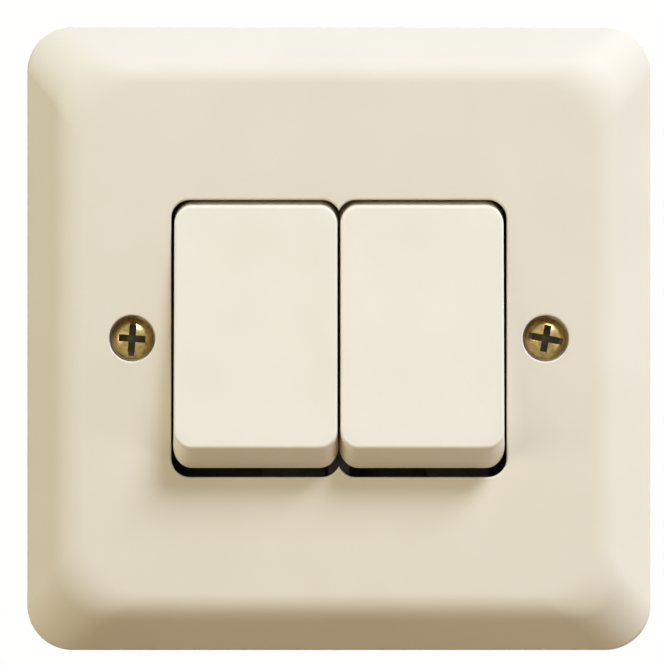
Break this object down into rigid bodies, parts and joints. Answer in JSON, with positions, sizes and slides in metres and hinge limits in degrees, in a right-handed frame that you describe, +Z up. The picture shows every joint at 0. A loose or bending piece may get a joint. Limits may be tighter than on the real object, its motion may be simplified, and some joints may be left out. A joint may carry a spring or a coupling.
{
  "type": "double light switch",
  "caption": "Square flush wall switch with side-by-side rockers in a bevelled front plate, domed brass fixing screws, and see-saw contacts and screw terminals behind.",
  "frame": {"origin": "middle of the plate's back edge, on the wall plane", "axes": "+X right as seen from the room, +Y into the wall, +Z up"},
  "size_m": [0.091, 0.0324, 0.091],
  "materials": {
    "plate_ivory": "smooth moulded, soft gloss",
    "rocker_ivory": "smooth moulded, soft gloss",
    "base_black": "moulded thermoset",
    "plunger_nylon": "plain nylon",
    "spring_steel": "drawn wire",
    "contact_brass": "stamped, slightly dull",
    "tip_silver": "plain silver pad",
    "screw_steel": "zinc plated",
    "screw_brass": "brass plated, a little tarnished"
  },
  "bodies": {
    "switch_body": {"front_plate": "plate_ivory", "switch_base": "base_black", "base_screws": "screw_steel", "left_fixing_screw": "screw_brass", "right_fixing_screw": "screw_brass", "left_common_terminal": "contact_brass", "right_common_terminal": "contact_brass", "left_outgoing_terminal": "contact_brass", "right_outgoing_terminal": "contact_brass", "left_fixed_tip": "tip_silver", "right_fixed_tip": "tip_silver", "left_clamp_screws": "screw_steel", "right_clamp_screws": "screw_steel"},
    "left_rocker_unit": {"left_rocker": "rocker_ivory", "left_plunger_spring": "spring_steel"},
    "right_rocker_unit": {"right_rocker": "rocker_ivory", "right_plunger_spring": "spring_steel"},
    "left_plunger_unit": {"left_plunger": "plunger_nylon"},
    "right_plunger_unit": {"right_plunger": "plunger_nylon"},
    "left_contact_unit": {"left_see_saw_contact": "contact_brass", "left_moving_tip": "tip_silver"},
    "right_contact_unit": {"right_see_saw_contact": "contact_brass", "right_moving_tip": "tip_silver"}
  },
  "joints": [
    {"name": "left_rocker_tilt", "type": "hinge", "parent": "switch_body", "child": "left_rocker_unit", "pos_m": [-0.01205, 0.001, 0], "axis": [1, 0, 0], "range_deg": [0, 16]},
    {"name": "right_rocker_tilt", "type": "hinge", "parent": "switch_body", "child": "right_rocker_unit", "pos_m": [0.01205, 0.001, 0], "axis": [1, 0, 0], "range_deg": [0, 16]},
    {"name": "left_plunger_slide", "type": "slide", "parent": "left_rocker_unit", "child": "left_plunger_unit", "axis": [0, -0.9903, 0.1392], "range_m": [0, 0.0008], "stiffness_N_per_m": 600, "springref_m": -0.0025, "deforming": ["left_plunger_spring"]},
    {"name": "right_plunger_slide", "type": "slide", "parent": "right_rocker_unit", "child": "right_plunger_unit", "axis": [0, -0.9903, 0.1392], "range_m": [0, 0.0008], "stiffness_N_per_m": 600, "springref_m": -0.0025, "deforming": ["right_plunger_spring"]},
    {"name": "left_contact_tilt", "type": "hinge", "parent": "switch_body", "child": "left_contact_unit", "pos_m": [-0.01205, 0.01118, 0], "axis": [1, 0, 0], "range_deg": [-17.2, 0]},
    {"name": "right_contact_tilt", "type": "hinge", "parent": "switch_body", "child": "right_contact_unit", "pos_m": [0.01205, 0.01118, 0], "axis": [1, 0, 0], "range_deg": [-17.2, 0]}
  ],
  "couplings": [
    {"joint": "left_contact_tilt", "follows": "left_rocker_tilt", "ratio": -1.075},
    {"joint": "right_contact_tilt", "follows": "right_rocker_tilt", "ratio": -1.075}
  ]
}
